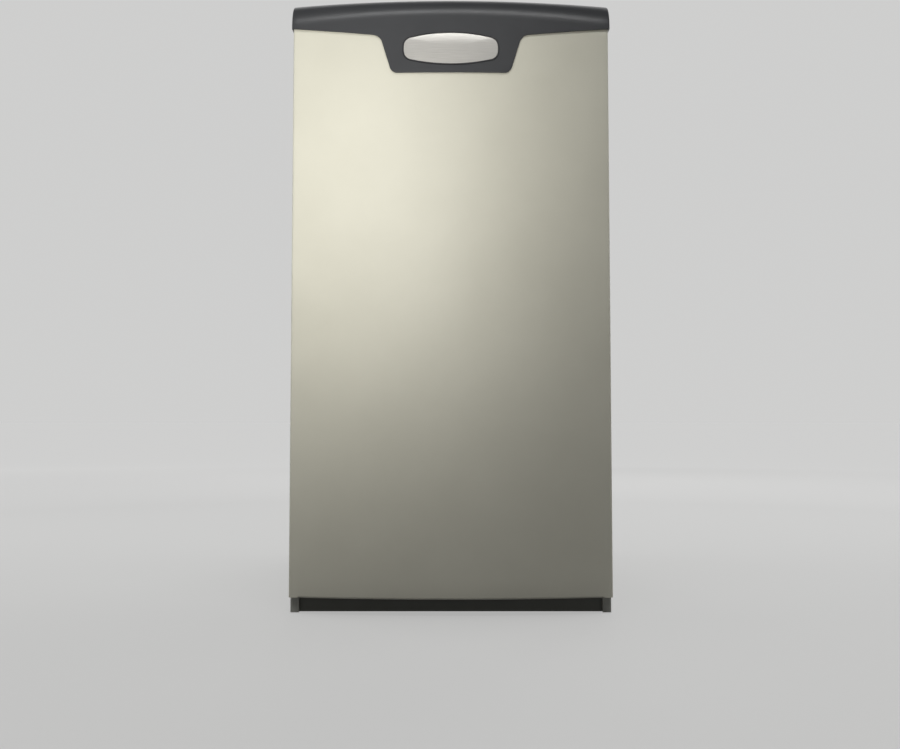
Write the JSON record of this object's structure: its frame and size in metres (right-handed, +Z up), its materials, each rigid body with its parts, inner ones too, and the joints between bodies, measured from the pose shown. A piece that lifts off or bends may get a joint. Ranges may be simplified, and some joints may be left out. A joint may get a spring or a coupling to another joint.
{
  "type": "gas furnace",
  "caption": "Upright upflow gas furnace: folded steel cabinet, bowed tilt-off door with a moulded cap, burners, heat exchanger, draft inducer and supply blower.",
  "frame": {"origin": "on the floor, under the middle of the overall box", "axes": "+X to the right seen from the front, +Y to the back, +Z up; the door faces -Y"},
  "size_m": [0.4506, 0.7365, 0.86],
  "materials": {
    "door_paint": "satin powder coat",
    "cabinet_paint": "satin grey paint",
    "kick_paint": "satin dark paint",
    "cap_plastic": "fine-grained moulded charcoal",
    "badge_metal": "satin silver, bare",
    "galvanized": "spangled zinc",
    "zinc_hardware": "bright zinc",
    "motor_shell": "painted and cast shells",
    "black_plastic": "moulded black",
    "grey_plastic": "moulded grey",
    "white_pipe": "rigid white pipe",
    "rubber_black": "soft black rubber",
    "foam_gasket": "closed-cell foam",
    "foil_blanket": "foil-faced blanket",
    "aluminised_tube": "aluminised steel",
    "coil_alloy": "bare fins",
    "valve_casting": "die casting",
    "gas_pipe": "black iron pipe",
    "brass_fitting": "turned brass",
    "board_green": "coated circuit board",
    "knob_blue": "moulded blue",
    "latch_plastic": "moulded black",
    "nylon_white": "natural nylon",
    "white_ceramic": "unglazed",
    "core_steel": "varnished laminations",
    "clear_window": "clear"
  },
  "bodies": {
    "cabinet": {"cabinet_wrapper": "cabinet_paint", "top_panel": "galvanized", "supply_flange": "galvanized", "vest_panel": "galvanized", "blower_deck": "galvanized", "base_frame": "galvanized", "bottom_panel": "galvanized", "kick_plate": "kick_paint", "cabinet_liner": "foil_blanket", "cabinet_screws": "zinc_hardware", "hole_plugs": "black_plastic", "pipe_collars": "black_plastic", "door_pivots": "zinc_hardware", "catch_sockets": "nylon_white", "vestibule_gasket": "foam_gasket", "blower_access_panel": "galvanized", "sight_glass": "clear_window", "blower_housing": "galvanized", "blower_motor": "motor_shell", "motor_mount": "zinc_hardware", "control_tray": "galvanized", "control_board": "board_green", "transformer": "core_steel", "interlock_switch": "black_plastic", "burner_rack": "aluminised_tube", "burners": "aluminised_tube", "gas_manifold": "gas_pipe", "gas_orifices": "brass_fitting", "gas_valve": "valve_casting", "igniter": "white_ceramic", "flame_sensor": "white_ceramic", "rollout_switches": "black_plastic", "junction_box": "galvanized", "inducer_housing": "black_plastic", "inducer_motor": "motor_shell", "vent_coupling": "rubber_black", "coupling_clamps": "zinc_hardware", "vent_pipe": "white_pipe", "cold_header": "black_plastic", "pressure_switch": "grey_plastic", "pressure_tube": "rubber_black", "condensate_trap": "grey_plastic", "exchanger_tubes": "aluminised_tube", "rear_coupling_box": "aluminised_tube", "secondary_coil": "coil_alloy"},
    "door": {"door_panel": "door_paint", "door_cap": "cap_plastic", "badge": "badge_metal", "door_insulation": "foil_blanket", "door_stiffeners": "galvanized", "door_hooks": "zinc_hardware", "catch_studs": "zinc_hardware"},
    "blower_rotor": {"blower_wheel": "galvanized", "blower_shaft": "zinc_hardware"},
    "inducer_wheel": {"inducer_rotor": "grey_plastic"},
    "gas_knob": {"valve_knob": "knob_blue"},
    "plunger": {"interlock_plunger": "nylon_white"},
    "left_latch": {"latch_left": "latch_plastic"},
    "right_latch": {"latch_right": "latch_plastic"},
    "push_button": {"control_button": "nylon_white"}
  },
  "joints": [
    {"name": "door_tilt", "type": "hinge", "parent": "cabinet", "child": "door", "pos_m": [0, -0.33025, 0.0321], "axis": [1, 0, 0], "range_deg": [0, 25]},
    {"name": "blower_spin", "type": "hinge", "parent": "cabinet", "child": "blower_rotor", "pos_m": [0, 0.07825, 0.195], "axis": [1, 0, 0], "continuous": true},
    {"name": "inducer_spin", "type": "hinge", "parent": "cabinet", "child": "inducer_wheel", "pos_m": [0.088, -0.20195, 0.48], "axis": [0, 1, 0], "continuous": true},
    {"name": "gas_knob_turn", "type": "hinge", "parent": "cabinet", "child": "gas_knob", "pos_m": [-0.1748, -0.30575, 0.7], "axis": [0, -1, 0], "range_deg": [0, 90]},
    {"name": "plunger_press", "type": "slide", "parent": "cabinet", "child": "plunger", "axis": [0, 1, 0], "range_m": [0, 0.004], "stiffness_N_per_m": 300, "springref_m": -0.002},
    {"name": "left_latch_turn", "type": "hinge", "parent": "cabinet", "child": "left_latch", "pos_m": [-0.15, -0.32175, 0.371], "axis": [0, -1, 0], "range_deg": [0, 90]},
    {"name": "right_latch_turn", "type": "hinge", "parent": "cabinet", "child": "right_latch", "pos_m": [0.15, -0.32175, 0.371], "axis": [0, -1, 0], "range_deg": [0, 90]},
    {"name": "push_button_press", "type": "slide", "parent": "cabinet", "child": "push_button", "axis": [0, 1, 0], "range_m": [0, 0.002], "stiffness_N_per_m": 400, "springref_m": -0.001}
  ]
}
